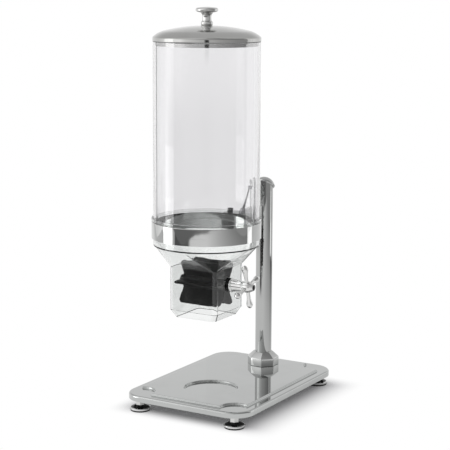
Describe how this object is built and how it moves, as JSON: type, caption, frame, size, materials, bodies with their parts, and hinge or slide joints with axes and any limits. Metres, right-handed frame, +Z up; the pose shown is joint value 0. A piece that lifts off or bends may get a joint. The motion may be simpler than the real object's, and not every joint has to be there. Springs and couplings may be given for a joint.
{
  "type": "gravity food dispenser",
  "caption": "Free-standing gravity dispenser: clear round bin and hopper in a ring on a column, hand-turned paddle wheel, square spout, domed lid, pressed base on levelling feet.",
  "frame": {"origin": "on the ground, under the centre of the whole object's bounding box", "axes": "+Z up, -Y towards the user (bin and spout side), +Y towards the column, +X to the user's right (handle side)"},
  "size_m": [0.232, 0.338, 0.6595],
  "materials": {
    "base_steel": "mirror-polished stainless steel sheet",
    "column_chrome": "polished chrome tube",
    "ring_chrome": "polished chrome",
    "handle_chrome": "polished chrome, turned",
    "knob_chrome": "polished chrome, turned",
    "foot_steel": "polished steel",
    "lid_steel": "satin spun stainless steel",
    "plain_steel": "plain zinc-plated steel",
    "screw_steel": "stainless button-head screws",
    "screw_black": "black oxide",
    "lever_steel": "black clamping lever",
    "spindle_steel": "turned stainless steel",
    "clear_hopper": "clear moulded plastic, glossy",
    "clear_bin": "clear extruded plastic, glossy",
    "wheel_plastic": "black moulded plastic",
    "wheel_rubber": "black flexible rubber",
    "bush_plastic": "black moulded plastic",
    "plug_plastic": "black plastic plug",
    "foot_rubber": "black rubber pad",
    "gasket_rubber": "grey silicone ring"
  },
  "bodies": {
    "stand": {"base_plate": "base_steel", "foot_weld_nuts": "plain_steel", "column_tube": "column_chrome", "column_cap": "column_chrome", "column_collar": "column_chrome", "column_plug": "plain_steel", "column_backing_plate": "plain_steel", "column_bolt_washer": "plain_steel", "column_bolt": "plain_steel", "holder_ring": "ring_chrome", "support_arm": "ring_chrome", "arm_screws": "screw_steel", "lug_screw": "screw_black", "lug_nuts": "plain_steel"},
    "lever": {"clamp_lever": "lever_steel"},
    "foot_1": {"foot_stud_1": "foot_steel", "foot_disc_1": "foot_steel", "foot_pad_1": "foot_rubber"},
    "foot_2": {"foot_stud_2": "foot_steel", "foot_disc_2": "foot_steel", "foot_pad_2": "foot_rubber"},
    "foot_3": {"foot_stud_3": "foot_steel", "foot_disc_3": "foot_steel", "foot_pad_3": "foot_rubber"},
    "foot_4": {"foot_stud_4": "foot_steel", "foot_disc_4": "foot_steel", "foot_pad_4": "foot_rubber"},
    "hopper": {"hopper": "clear_hopper", "spindle_bush": "bush_plastic", "tail_bush": "bush_plastic"},
    "bin": {"bin_tube": "clear_bin"},
    "lid": {"lid_cover": "lid_steel", "lid_skirt": "lid_steel", "lid_gasket": "gasket_rubber", "lid_knob": "knob_chrome", "lid_knob_washer": "plain_steel", "lid_knob_screw": "plain_steel"},
    "wheel": {"wheel_core": "wheel_plastic", "wheel_vanes": "wheel_rubber"},
    "handle": {"spindle": "spindle_steel", "handle_barrel": "handle_chrome", "handle_spokes": "handle_chrome", "handle_end_plug": "plug_plastic", "handle_grub_screw": "screw_black"}
  },
  "joints": [
    {"name": "lever_turn", "type": "hinge", "parent": "stand", "child": "lever", "pos_m": [0.013, 0.022, 0.32], "axis": [0, 0, 1], "range_deg": [-90, 60]},
    {"name": "foot_1_turn", "type": "hinge", "parent": "stand", "child": "foot_1", "pos_m": [0.09, -0.141, 0.02], "axis": [0, 0, 1], "continuous": true},
    {"name": "foot_2_turn", "type": "hinge", "parent": "stand", "child": "foot_2", "pos_m": [0.09, 0.149, 0.02], "axis": [0, 0, 1], "continuous": true},
    {"name": "foot_3_turn", "type": "hinge", "parent": "stand", "child": "foot_3", "pos_m": [-0.09, 0.149, 0.02], "axis": [0, 0, 1], "continuous": true},
    {"name": "foot_4_turn", "type": "hinge", "parent": "stand", "child": "foot_4", "pos_m": [-0.09, -0.141, 0.02], "axis": [0, 0, 1], "continuous": true},
    {"name": "hopper_lift", "type": "slide", "parent": "stand", "child": "hopper", "axis": [0, 0, 1], "range_m": [0, 0.03]},
    {"name": "bin_lift", "type": "slide", "parent": "hopper", "child": "bin", "axis": [0, 0, 1], "range_m": [0, 0.1]},
    {"name": "lid_lift", "type": "slide", "parent": "bin", "child": "lid", "axis": [0, 0, 1], "range_m": [0, 0.1]},
    {"name": "wheel_spin", "type": "hinge", "parent": "hopper", "child": "wheel", "pos_m": [0, -0.08, 0.2155], "axis": [1, 0, 0], "continuous": true},
    {"name": "handle_pull", "type": "slide", "parent": "wheel", "child": "handle", "axis": [1, 0, 0], "range_m": [0, 0.095]}
  ]
}
